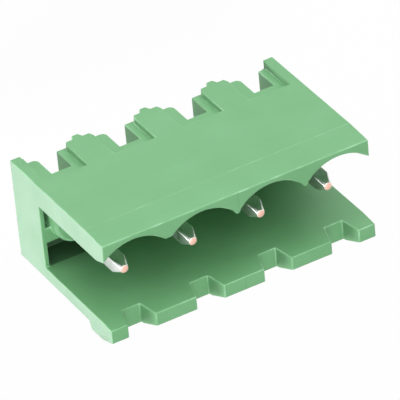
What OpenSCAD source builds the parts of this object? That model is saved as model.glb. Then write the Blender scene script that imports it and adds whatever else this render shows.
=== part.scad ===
// Header of a pluggable terminal block: an open-ended, board-mounted strip.
// One moulded housing holds a row of square contact pins. The plug comes down
// along -Z between the key wall (+Y) and the latch wall (-Y).
// Origin: middle of the row, on the contact axes, at the board's surface (z = 0).

/* [Row] */
// Number of contacts in the row
positions = 4; // [2:1:12]
// Distance from one contact to the next
pitch = 5.08; // [5:0.01:6.35]
// Axis of the last contact to the open end of the housing
end_margin = 2.28; // [2.25:0.01:3]

/* [Housing] */
// Board surface to the mating edge
height = 12; // [11:0.1:15]
// Board surface to the floor of the plug cavity
floor_top = 3.45; // [3.4:0.05:4.2]
// Contact axis to the outside of the key wall
key_face = 3.75; // [3.6:0.05:4.2]
// Thickness of the key wall at its ridges
key_wall = 1.75; // [1.5:0.05:1.9]
// Contact axis to the outside of the latch wall
latch_face = 3.7; // [3.6:0.05:4.2]
// Thickness of the latch wall
latch_wall = 0.86; // [0.7:0.02:1.1]

/* [Key wall] */
// Radius of the channel that runs down the key wall at each contact
channel_r = 2.95; // [2.7:0.05:3.1]
// Length of the lead-in at the mating edge of the key wall
key_lead_h = 1.05; // [0.5:0.05:2]
// Depth of that lead-in
key_lead = 0.32; // [0.1:0.02:0.4]
// Length of the outer face that slopes in at the mating edge
slope_h = 2.2; // [1:0.1:4]
// How far the outer face slopes in
slope = 0.13; // [0.05:0.01:0.3]
// Radius of the beads on the inner ridges, past the first, at the mating edge
bead_r = 0.2; // [0.1:0.05:0.25]
// How far those beads stand out of the lead-in
bead_out = 0.27; // [0.1:0.01:0.3]

/* [Latch wall] */
// Length of the lead-in at the mating edge of the latch wall
latch_lead_h = 1.4; // [0.5:0.1:2.5]
// Depth of that lead-in
latch_lead = 0.12; // [0.04:0.02:0.2]
// Height of the latch rail, measured down from the mating edge
rail_h = 2.96; // [2:0.02:4]
// How far the rail stands out of the latch wall
rail_out = 0.64; // [0.4:0.02:1]
// How far the rail's lower face leans towards the mating edge
rail_lean = 0.12; // [0:0.02:0.3]
// Radius of the rail's lower edge
rail_r = 0.25; // [0.1:0.05:0.35]
// Length of the ramp at the rail's upper edge
ramp_h = 1.25; // [0.5:0.05:1.6]
// Depth of that ramp
ramp = 0.38; // [0.1:0.02:0.4]
// Width of each latch notch at its root
notch_root = 1.34; // [1:0.02:2]
// Width of each latch notch at the mating edge
notch_mouth = 2.06; // [2:0.02:3]
// Depth of the latch notches
notch_depth = 1.48; // [0.8:0.02:2.4]

/* [Floor] */
// Width of the boss around each contact
boss_w = 3.2; // [2.6:0.1:3.4]
// Contact axis to the centre of the boss's round side
boss_shift = 0.45; // [0.2:0.05:0.7]
// Height of the boss above the cavity floor
boss_h = 0.85; // [0.4:0.05:1.5]
// Bevel around the top of the boss
boss_bevel = 0.15; // [0.05:0.05:0.3]
// Width of the pockets beside each boss
pocket_w = 3.88; // [3.6:0.02:4.2]
// Depth of those pockets below the cavity floor
pocket_depth = 2; // [0.4:0.05:2.6]
// Width of the web that joins the boss to the floor on each side
web = 1.13; // [0.8:0.01:1.4]
// Contact axis to the edge of the web on the key side
web_edge = 0.12; // [0:0.02:0.3]
// Contact axis to the end of the pocket on the key side
pocket_end = 1.55; // [1.2:0.05:1.8]

/* [Board side] */
// Gap between the housing's underside and the board
standoff = 0.38; // [0.2:0.02:0.6]
// Width of the foot at each end of the housing
end_foot = 0.72; // [0.5:0.02:0.75]
// Width of the feet between contacts, on the board
foot = 0.44; // [0.3:0.02:0.6]
// Width of those feet where they meet the underside
foot_root = 0.8; // [0.7:0.02:1]
// Width of the relief in the key wall's outer face at each contact
relief_w = 3.02; // [2.6:0.02:3.1]
// Height of that relief above the board
relief_h = 3.49; // [2.8:0.01:4.5]
// Depth of that relief
relief_depth = 0.43; // [0.2:0.01:0.8]
// Width of the bevel at the lower corners of the key wall between two reliefs
land_bevel = 0.15; // [0.05:0.01:0.3]
// Height of that bevel
land_bevel_h = 0.4; // [0.1:0.05:1]
// Width of the slot that bares each contact below the floor
slot_w = 1.46; // [1.4:0.02:1.7]
// How far the slot lies off the contact axis
slot_shift = 0.19; // [0.05:0.01:0.2]
// Height of the slot above the board
slot_h = 2.4; // [1.6:0.05:2.45]
// Gap behind the contact in its slot
slot_gap = 0.2; // [0.1:0.05:0.5]
// Radius of the rounded mouth of the slot
slot_r = 0.4; // [0.1:0.05:0.4]

/* [Contacts] */
// Side of the square contact pins
pin = 1; // [0.9:0.01:1.1]
// Clearance between a pin and its hole, on each side
pin_fit = 0.01; // [0:0.01:0.05]
// Mating edge down to the tip of a pin
tip_depth = 1.7; // [1:0.05:3]
// Length of a pin's tapered tip
tip_h = 0.82; // [0.4:0.02:1.5]
// Width of the flat at the end of the tip
tip_flat = 0.54; // [0.3:0.02:0.7]
// Bevel on the long edges of a pin
pin_bevel = 0.05; // [0.02:0.01:0.1]
// Length of the solder tail below the board's upper surface
tail = 3.5; // [2.4:0.1:5]
// Length of the point at the end of the tail
tail_point = 0.7; // [0.3:0.05:1]
// Width of the flat at the end of the tail
tail_flat = 0.6; // [0.3:0.02:0.7]

/* [Hidden] */
function pin_name(n) = str("pin_", n);

green = [0.36, 0.68, 0.42];
tin = [0.72, 0.73, 0.72];
round_fn = 96;
corner_steps = 6;
over = 1; // how far a cutting tool runs past the face that it cuts

row = (positions - 1) * pitch;
width = row + 2 * end_margin;
key_inner = key_face - key_wall;
latch_inner = -latch_face + latch_wall;
tip_top = height - tip_depth;

// X of contact n, counted from 1
function pin_x(n) = (n - 1) * pitch - row / 2;

// Points on an arc around c, from angle a to angle b
function arc(c, r, a, b) =
    [for (i = [0 : corner_steps]) let (t = a + (b - a) * i / corner_steps) c + r * [cos(t), sin(t)]];

// Extrudes a Y-Z outline along X, centred on the row
module along_x(length) {
    rotate([90, 0, 90]) linear_extrude(length, center = true) children();
}

// Extrudes an X-Z outline along Y, from y0 to y1
module along_y(y0, y1) {
    translate([0, y1, 0]) rotate([90, 0, 0]) linear_extrude(y1 - y0) children();
}

module at_contacts() {
    for (n = [1 : positions]) translate([pin_x(n), 0, 0]) children();
}

// Places children midway between two contacts, from the gap after contact first
module between_contacts(first = 1) {
    if (positions > first)
        for (n = [first : positions - 1]) translate([pin_x(n) + pitch / 2, 0, 0]) children();
}

// Section of the housing: floor, key wall, latch wall and its rail
module housing_section() {
    rail_face = -latch_face - rail_out;
    rail_low = height - rail_h;
    polygon(concat(
        [
            [-latch_face, 0],
            [key_face, 0],
            [key_face, height - slope_h],
            [key_face - slope, height],
            [key_inner + key_lead, height],
            [key_inner, height - key_lead_h],
            [key_inner, floor_top],
            [latch_inner, floor_top],
            [latch_inner, height - latch_lead_h],
            [latch_inner - latch_lead, height],
            [rail_face + ramp, height],
            [rail_face, height - ramp_h],
        ],
        arc([rail_face + rail_r, rail_low + rail_lean + rail_r], rail_r, 180, 270),
        [[-latch_face, rail_low]]
    ));
}

// Round channel in the key wall at one contact, flared at the mating edge
module key_channel() {
    flare = key_lead * over / key_lead_h;
    difference() {
        union() {
            translate([0, 0, floor_top]) cylinder(h = height - floor_top, r = channel_r, $fn = round_fn);
            translate([0, 0, height - key_lead_h])
                cylinder(h = key_lead_h + over, r1 = channel_r, r2 = channel_r + key_lead + flare, $fn = round_fn);
        }
        translate([-channel_r - over, -channel_r - over, 0])
            cube([2 * (channel_r + over), channel_r + over, height + 2 * over]);
    }
}

// Upright bead on the lead-in of one ridge
module ridge_bead() {
    translate([0, key_inner + key_lead - bead_out + bead_r, height - key_lead_h])
        cylinder(h = key_lead_h, r = bead_r, $fn = round_fn);
}

// Notch through the latch wall and rail, wider at the mating edge
module latch_notch() {
    spread = (notch_mouth - notch_root) / 2;
    past = spread * over / notch_depth;
    along_y(-latch_face - rail_out - over, latch_inner + over)
        polygon([
            [-notch_root / 2, height - notch_depth],
            [notch_root / 2, height - notch_depth],
            [notch_mouth / 2 + past, height + over],
            [-notch_mouth / 2 - past, height + over],
        ]);
}

// Solid of the boss around one contact: round towards the latch wall, square
// towards the key wall, standing on the pocket floor
module boss() {
    r = boss_w / 2;
    base = floor_top - pocket_depth;
    shoulder = floor_top + boss_h - boss_bevel;
    translate([0, boss_shift, base]) cylinder(h = shoulder - base, r = r, $fn = round_fn);
    translate([0, boss_shift, shoulder]) cylinder(h = boss_bevel, r1 = r, r2 = r - boss_bevel, $fn = round_fn);
    along_y(boss_shift, (channel_r + key_face - relief_depth) / 2)
        polygon([
            [-r, base],
            [r, base],
            [r, shoulder],
            [r - boss_bevel, shoulder + boss_bevel],
            [boss_bevel - r, shoulder + boss_bevel],
            [-r, shoulder],
        ]);
}

// The two pockets of one contact, one on each side of the web
module pockets() {
    for (span = [[latch_inner, web_edge - web], [web_edge, pocket_end]])
        translate([-pocket_w / 2, span[0], floor_top - pocket_depth])
            cube([pocket_w, span[1] - span[0], pocket_depth + over]);
}

// Feet that stand on the board: one between each two contacts, and one at each end
module feet() {
    depth = latch_face + key_face + 4 * over;
    between_contacts()
        along_y(-latch_face - 2 * over, key_face + 2 * over)
            polygon([
                [-foot / 2, -2 * over],
                [foot / 2, -2 * over],
                [foot / 2, 0],
                [foot_root / 2, standoff],
                [foot_root / 2, standoff + over],
                [-foot_root / 2, standoff + over],
                [-foot_root / 2, standoff],
                [-foot / 2, 0],
            ]);
    for (side = [-1, 1])
        translate([side * width / 2 - end_foot, -latch_face - 2 * over, -2 * over])
            cube([2 * end_foot, depth, standoff + 3 * over]);
}

// Recess that lifts the housing off the board, all around the feet
module underside_recess() {
    difference() {
        translate([-width / 2 - over, -latch_face - over, -over])
            cube([width + 2 * over, latch_face + key_face + 2 * over, standoff + over]);
        feet();
    }
}

// Slot that bares the contact below the floor, open to the key side
module solder_slot() {
    left = slot_shift - slot_w / 2;
    right = slot_shift + slot_w / 2;
    along_y(-pin / 2 - slot_gap, key_face + over)
        polygon(concat(
            [
                [left - slot_r, -over],
                [right, -over],
                [right, slot_h],
                [left, slot_h],
            ],
            arc([left - slot_r, standoff + slot_r], slot_r, 0, -90)
        ));
}

// Relief in the outer face of the key wall at one contact
module relief() {
    translate([-relief_w / 2, key_face - relief_depth, -over])
        cube([relief_w, relief_depth + over, relief_h + over]);
}

// Bevels on the lower corners of the key wall between two reliefs
module land_bevels() {
    half = (pitch - relief_w) / 2;
    for (side = [-1, 1])
        along_y(key_face - relief_depth, key_face + over)
            polygon([
                [side * half, standoff + land_bevel_h],
                [side * (half - land_bevel), standoff],
                [side * half, standoff],
            ]);
}

// Square hole for one contact
module pin_hole() {
    side = pin + 2 * pin_fit;
    translate([-side / 2, -side / 2, -over]) cube([side, side, height]);
}

// Moulded housing, in one piece
module housing() {
    color(green)
        difference() {
            union() {
                difference() {
                    along_x(width) housing_section();
                    at_contacts() key_channel();
                    at_contacts() latch_notch();
                    at_contacts() pockets();
                    underside_recess();
                }
                at_contacts() boss();
                between_contacts(first = 2) ridge_bead();
            }
            at_contacts() relief();
            between_contacts() land_bevels();
            at_contacts() solder_slot();
            at_contacts() pin_hole();
        }
}

// Outline of a pin, body wide, tapered to the tip and to the tail's end
module pin_outline(body, tip, end) {
    polygon([
        [-end / 2, -tail],
        [end / 2, -tail],
        [body / 2, tail_point - tail],
        [body / 2, tip_top - tip_h],
        [tip / 2, tip_top],
        [-tip / 2, tip_top],
        [-body / 2, tip_top - tip_h],
        [-body / 2, tail_point - tail],
    ]);
}

// Square contact pin with bevelled edges, its two ends eight-sided
module contact_pin(n) {
    diagonal = sqrt(2) * (pin - pin_bevel);
    color(tin) translate([pin_x(n), 0, 0])
        intersection_for(turn = [0, 45, 90, 135])
            rotate([0, 0, turn])
                along_y(-pin, pin)
                    pin_outline(turn % 90 == 0 ? pin : diagonal, tip_flat, tail_flat);
}

housing();
for (n = [1 : positions])
    contact_pin(n);
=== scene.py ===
import math

import bmesh
import bpy
from mathutils import Matrix, Vector


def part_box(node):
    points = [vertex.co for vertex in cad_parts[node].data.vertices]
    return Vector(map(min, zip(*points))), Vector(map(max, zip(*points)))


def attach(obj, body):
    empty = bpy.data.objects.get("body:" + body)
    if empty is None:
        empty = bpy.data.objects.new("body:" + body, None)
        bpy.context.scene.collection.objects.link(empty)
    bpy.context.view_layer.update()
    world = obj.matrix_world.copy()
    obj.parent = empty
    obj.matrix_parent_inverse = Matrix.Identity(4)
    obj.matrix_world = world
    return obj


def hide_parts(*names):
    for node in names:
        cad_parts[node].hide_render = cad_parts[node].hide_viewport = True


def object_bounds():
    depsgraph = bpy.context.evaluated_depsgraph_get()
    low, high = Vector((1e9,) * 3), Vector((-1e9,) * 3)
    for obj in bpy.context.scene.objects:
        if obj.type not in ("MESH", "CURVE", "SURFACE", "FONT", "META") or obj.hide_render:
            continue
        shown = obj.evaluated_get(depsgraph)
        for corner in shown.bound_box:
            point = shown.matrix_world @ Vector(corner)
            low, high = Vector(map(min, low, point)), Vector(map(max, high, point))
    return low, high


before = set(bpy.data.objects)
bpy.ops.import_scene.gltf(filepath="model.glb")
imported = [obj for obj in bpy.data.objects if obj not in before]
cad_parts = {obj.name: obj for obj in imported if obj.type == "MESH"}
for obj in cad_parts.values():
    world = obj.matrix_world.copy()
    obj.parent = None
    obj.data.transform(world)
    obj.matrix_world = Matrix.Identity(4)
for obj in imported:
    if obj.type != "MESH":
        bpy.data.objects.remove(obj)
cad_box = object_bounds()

MM = 0.001

# ---------------------------------------------------------------- housing
# The green base strip: one injection moulding in polyamide, open at both ends.
# Its outer faces come off a finely eroded mould, so they are satin, and its
# edges carry the small radius that a moulding has.

HOUSING_EDGE = 0.07 * MM
EDGE_ANGLE = math.radians(24)
COPLANAR = math.radians(0.6)
WELD = 0.002 * MM
ROUNDED = "rounded"

GREEN = (0.122, 0.335, 0.140)
GREEN_PALE = (0.147, 0.375, 0.170)
# Painted sheen for the end faces.
PAINTED_END_SHEEN = (0.37, 0.56, 0.41)
# Painted highlight for the rounded edges and the crease.
PAINTED_EDGE_HIGHLIGHT = (0.30, 0.56, 0.34)
SEAM_DARK = (0.05, 0.20, 0.07)
# Painted shade for the floor pockets.
POCKET_PAINTED_SHADE = (0.010, 0.030, 0.014)

CLOUD = 3.5 * MM
FLOW = 0.9 * MM
# Size of the patches of painted sheen on the end faces.
END_SHEEN_PATCH = 2.5 * MM
# Size of the breaks in the painted highlights.
HIGHLIGHT_BREAK = 1.3 * MM
GRAIN = 0.05 * MM

SKIN = 0.02 * MM
KEY_FACE_SKIN = 0.2 * MM
CREASE_DOWN = 2.2 * MM
CREASE_HALF = 0.05 * MM
JOINT_X = 0.1 * MM
JOINT_HALF = 0.03 * MM
POCKET_TOP = 3.4 * MM
POCKET_BED = 1.0 * MM
POCKET_Y = -1.7 * MM
POCKET_HALF = 1.25 * MM
POCKET_IN = 0.5 * MM


class Socket:
    """A number, colour or vector in a shader, with the arithmetic that shader maths needs."""

    def __init__(self, tree, out):
        self.tree = tree
        self.out = out

    def math(self, operation, *values):
        return self.tree.node("ShaderNodeMath", {"operation": operation}, dict(enumerate(values)))

    def __add__(self, other):
        return self.math("ADD", self, other)

    __radd__ = __add__

    def __sub__(self, other):
        return self.math("SUBTRACT", self, other)

    def __rsub__(self, other):
        return self.math("SUBTRACT", other, self)

    def __mul__(self, other):
        return self.math("MULTIPLY", self, other)

    __rmul__ = __mul__

    def __abs__(self):
        return self.math("ABSOLUTE", self)

    def __gt__(self, other):
        return self.math("GREATER_THAN", self, other)

    def __lt__(self, other):
        return self.math("LESS_THAN", self, other)


class Nodes:
    """The nodes of a material or a world."""

    def __init__(self, owner):
        owner.use_nodes = True
        self.nodes = owner.node_tree.nodes
        self.links = owner.node_tree.links

    def put(self, target, value):
        if isinstance(value, Socket):
            self.links.new(value.out, target)
        elif isinstance(value, tuple) and target.type == "RGBA":
            target.default_value = (*value, 1)
        else:
            target.default_value = value

    def node(self, kind, settings=None, inputs=None, output=0):
        made = self.nodes.new(kind)
        for key, value in (settings or {}).items():
            setattr(made, key, value)
        for key, value in (inputs or {}).items():
            self.put(made.inputs[key], value)
        return Socket(self, made.outputs[output])


class Shader(Nodes):
    """A new material and its Principled shader."""

    def __init__(self, name, **sockets):
        self.material = bpy.data.materials.new(name)
        super().__init__(self.material)
        self.surface = self.nodes["Principled BSDF"]
        for socket, value in sockets.items():
            self.set(socket.replace("_", " "), value)

    def set(self, socket, value):
        self.put(self.surface.inputs[socket], value)

    def place(self, scale=(1, 1, 1)):
        where = self.node("ShaderNodeTexCoord", output="Object")
        return self.node("ShaderNodeMapping", {}, {"Vector": where, "Scale": scale})

    def axis(self, name):
        return self.node("ShaderNodeSeparateXYZ", {}, {"Vector": self.place()}, output=name)

    def noise(self, size, detail=3, stretch=(1, 1, 1)):
        """Noise whose blots are about size across, in metres, and longer where stretch is large."""
        scale = tuple(1 / (size * s) for s in stretch)
        inputs = {"Vector": self.place(scale), "Scale": 1.0, "Detail": detail}
        return self.node("ShaderNodeTexNoise", {}, inputs)

    def ranged(self, value, low, high, start=0.0, end=1.0):
        """Turns the span from start to end of a value into the span from low to high."""
        inputs = {"Value": value, "From Min": start, "From Max": end, "To Min": low, "To Max": high}
        return self.node("ShaderNodeMapRange", {}, inputs)

    def line(self, where, at, half_width):
        """A soft line across the surface where the coordinate passes one value."""
        return self.ranged(abs(where - at), 1.0, 0.0, 0.0, half_width)

    def blend(self, factor, a, b):
        inputs = {"Factor": factor, 6: a, 7: b}
        return self.node("ShaderNodeMix", {"data_type": "RGBA"}, inputs, output=2)

    def bump(self, height, distance, strength):
        inputs = {"Height": height, "Distance": distance, "Strength": strength}
        self.set("Normal", self.node("ShaderNodeBump", {}, inputs))


def housing_plastic(high):
    s = Shader("housing_plastic", IOR=1.5, Specular_IOR_Level=0.7)
    x, y, z = (s.axis(name) for name in "XYZ")
    cloud = s.noise(CLOUD, detail=4)
    flow = s.noise(FLOW, stretch=(4, 1, 1))
    green = s.blend(s.ranged(cloud + flow * 0.3, 0.0, 1.0, 0.4, 0.9), GREEN, GREEN_PALE)
    # Painted sheen: the end faces are painted paler in patches, standing in for the light that falls
    # on them.
    ends = abs(x) > high.x - SKIN
    end_sheen = s.ranged(s.noise(END_SHEEN_PATCH, detail=2), 0.65, 0.85, 0.3, 0.7)
    green = s.blend(ends * end_sheen, green, PAINTED_END_SHEEN)
    # Painted highlight: the crease line on the key face is painted paler, in broken streaks, where
    # light catches it.
    ridge = s.line(z, high.z - CREASE_DOWN, CREASE_HALF) * (y > high.y - KEY_FACE_SKIN)
    highlight_breaks = s.ranged(s.noise(HIGHLIGHT_BREAK, detail=4), 0.15, 0.9, 0.45, 0.7)
    green = s.blend(ridge * highlight_breaks, green, PAINTED_EDGE_HIGHLIGHT)
    # Painted highlight: the rounded edges are painted paler, in broken streaks, where light catches
    # them.
    edge = s.node("ShaderNodeAttribute", {"attribute_name": ROUNDED}, output="Fac")
    green = s.blend(edge * highlight_breaks, green, PAINTED_EDGE_HIGHLIGHT)
    # Painted shade: the floor pockets beside the latch wall, between these heights, are painted
    # near-black, darker than their depth alone makes them.
    level = (z < POCKET_TOP) * (z > POCKET_BED)
    pocket_shade = level * (abs(y - POCKET_Y) < POCKET_HALF) * (abs(x) < high.x - POCKET_IN)
    green = s.blend(pocket_shade * 0.6, green, POCKET_PAINTED_SHADE)
    joint = s.line(x, JOINT_X, JOINT_HALF) * (z > high.z - SKIN)
    s.set("Base Color", s.blend(joint * 0.6, green, SEAM_DARK))
    s.set("Roughness", s.ranged(cloud, 0.46, 0.56, 0.3, 0.7))
    s.bump(s.noise(GRAIN, detail=2) + ridge * 3 - joint * 6, 0.004 * MM, 0.5)
    return s.material


def merged_copy(node, name):
    """A new object with a node's shape, its loose triangles joined and its flat faces whole."""
    piece = bpy.data.objects.new(name, bpy.data.meshes.new(name))
    bpy.context.scene.collection.objects.link(piece)
    mesh = bmesh.new()
    mesh.from_mesh(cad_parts[node].data)
    bmesh.ops.remove_doubles(mesh, verts=mesh.verts, dist=WELD)
    bmesh.ops.dissolve_limit(mesh, angle_limit=COPLANAR, verts=mesh.verts, edges=mesh.edges)
    return piece, mesh


def soften(mesh, radius):
    """Rounds and marks every sharp edge that has no step smaller than the radius beside it."""
    rounded = mesh.faces.layers.float.new(ROUNDED)
    tight = {vert for edge in mesh.edges if edge.calc_length() < radius for vert in edge.verts}
    turned = [edge for edge in mesh.edges if edge.calc_face_angle(0) > EDGE_ANGLE]
    sharp = [edge for edge in turned if not tight.intersection(edge.verts)]
    made = bmesh.ops.bevel(
        mesh, geom=sharp, offset=radius, offset_type="OFFSET", segments=2,
        profile=0.5, affect="EDGES", clamp_overlap=False, material=-1,
    )
    for face in made["faces"]:
        face[rounded] = 1.0


def finish(piece, mesh, material):
    for face in mesh.faces:
        face.smooth = True
    mesh.to_mesh(piece.data)
    mesh.free()
    piece.data.materials.append(material)
    shade = piece.modifiers.new("even_shading", "WEIGHTED_NORMAL")
    shade.weight = 100


moulding, mesh = merged_copy("housing", "housing_moulding")
soften(mesh, HOUSING_EDGE)
finish(moulding, mesh, housing_plastic(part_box("housing")[1]))
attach(moulding, "root")
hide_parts("housing")

# ---------------------------------------------------------------- contacts
# Four square pins of copper alloy wire, tin-plated along their sides. They are
# cut and swaged to a blunt point after plating, so their ends are bare copper.

PIN_EDGE = 0.025 * MM
TIN = (0.80, 0.82, 0.80)
COPPER = (0.86, 0.53, 0.43)
DRAWN = 0.05 * MM
TARNISH = 0.6 * MM
CUT_SKIN = 0.004 * MM


def pin_metal(tip):
    s = Shader("pin_metal", Metallic=1.0)
    drawn = s.noise(DRAWN, stretch=(1, 1, 30))
    cloud = s.noise(TARNISH, detail=2)
    bare = s.axis("Z") > tip - CUT_SKIN
    s.set("Base Color", s.blend(bare, TIN, COPPER))
    s.set("Roughness", s.ranged(cloud, 0.26, 0.36, 0.3, 0.7) + bare * 0.1)
    s.bump(drawn, 0.003 * MM, 0.2)
    return s.material


pins = sorted(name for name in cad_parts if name.startswith("pin_"))
metal = pin_metal(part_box(pins[0])[1].z)
for name in pins:
    contact, mesh = merged_copy(name, name.replace("pin", "contact"))
    soften(mesh, PIN_EDGE)
    finish(contact, mesh, metal)
    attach(contact, "root")
    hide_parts(name)

# ---------------------------------------------------------------- stage
# A plain white floor under the tails, soft studio light, and the camera. The
# floor keeps a little of the object's shadow.

FLOOR_R = 1.0
FLOOR_DROP = 10 * MM
FLOOR_GREY = (0.9, 0.9, 0.9)
FLOOR_WHITE = 0.95
WHITE = (1.0, 1.0, 1.0)
WORLD_POWER = 0.12
RAYS = ("Is Camera Ray", "Is Glossy Ray", "Is Transmission Ray")

# Each softbox: its direction from the object, its size and distance in metres, and its power in watts
SOFTBOXES = {
    "overhead": ((0, 1, 0.15), 0.8, 0.4, 3.8),
    "left": ((-1, -0.05, 0.22), 0.1, 0.25, 0.37),
    "front": ((-0.35, -0.1, 1), 0.15, 0.25, 0.31),
    "edge": ((-0.3, 1, 0.9), 0.25, 0.25, 0.06),
}

LENS = 573.6
SENSOR = 36
EYE = Vector((-155.14, 232.92, 308.65)) * MM
RIGHT = Vector((0.85885, -0.08289, 0.50547))
UP = Vector((0.34665, 0.82056, -0.45444))


def seen_white(tree, lit, kind, share):
    """A lit shader that the camera, mirrors and glass see as plain white, by a share of it."""
    camera_ray, glossy, through = (tree.node("ShaderNodeLightPath", output=ray) for ray in RAYS)
    seen = camera_ray.math("MAXIMUM", camera_ray.math("MAXIMUM", camera_ray, glossy), through)
    white = tree.node(kind, {}, {"Color": WHITE, "Strength": 1.0})
    return tree.node("ShaderNodeMixShader", {}, {0: seen * share, 1: lit, 2: white})


def studio_world():
    world = bpy.data.worlds.new("studio")
    bpy.context.scene.world = world
    tree = Nodes(world)
    kind = "ShaderNodeBackground"
    soft = tree.node(kind, {}, {"Color": WHITE, "Strength": WORLD_POWER})
    tree.put(tree.nodes["World Output"].inputs["Surface"], seen_white(tree, soft, kind, 1.0))


def floor(height):
    mesh = bmesh.new()
    bmesh.ops.create_circle(mesh, cap_ends=True, radius=FLOOR_R, segments=64)
    bmesh.ops.translate(mesh, verts=mesh.verts, vec=(0, 0, height))
    obj = bpy.data.objects.new("floor", bpy.data.meshes.new("floor"))
    bpy.context.scene.collection.objects.link(obj)
    s = Shader("floor_white", Roughness=0.9, Base_Color=FLOOR_GREY)
    lit = Socket(s, s.surface.outputs[0])
    mixed = seen_white(s, lit, "ShaderNodeEmission", FLOOR_WHITE)
    s.put(s.nodes["Material Output"].inputs["Surface"], mixed)
    mesh.to_mesh(obj.data)
    mesh.free()
    obj.data.materials.append(s.material)


def softbox(name, direction, size, distance, power):
    light = bpy.data.lights.new(name, "AREA")
    light.shape = "DISK"
    light.size = size
    light.energy = power
    obj = bpy.data.objects.new(name, light)
    away = Vector(direction).normalized()
    obj.location = away * distance
    obj.rotation_euler = away.to_track_quat("Z", "Y").to_euler()
    bpy.context.scene.collection.objects.link(obj)


studio_world()
floor(cad_box[0][2] - FLOOR_DROP)
for name, settings in SOFTBOXES.items():
    softbox(name, *settings)

camera = bpy.data.objects.new("camera", bpy.data.cameras.new("camera"))
bpy.context.scene.collection.objects.link(camera)
camera.data.lens = LENS
camera.data.sensor_width = SENSOR
camera.data.clip_start = 0.02
camera.data.clip_end = 10
turn = Matrix((RIGHT, UP, RIGHT.cross(UP))).transposed().to_4x4()
camera.matrix_world = Matrix.Translation(EYE) @ turn
bpy.context.scene.camera = camera
bpy.context.scene.view_settings.view_transform = "Standard"
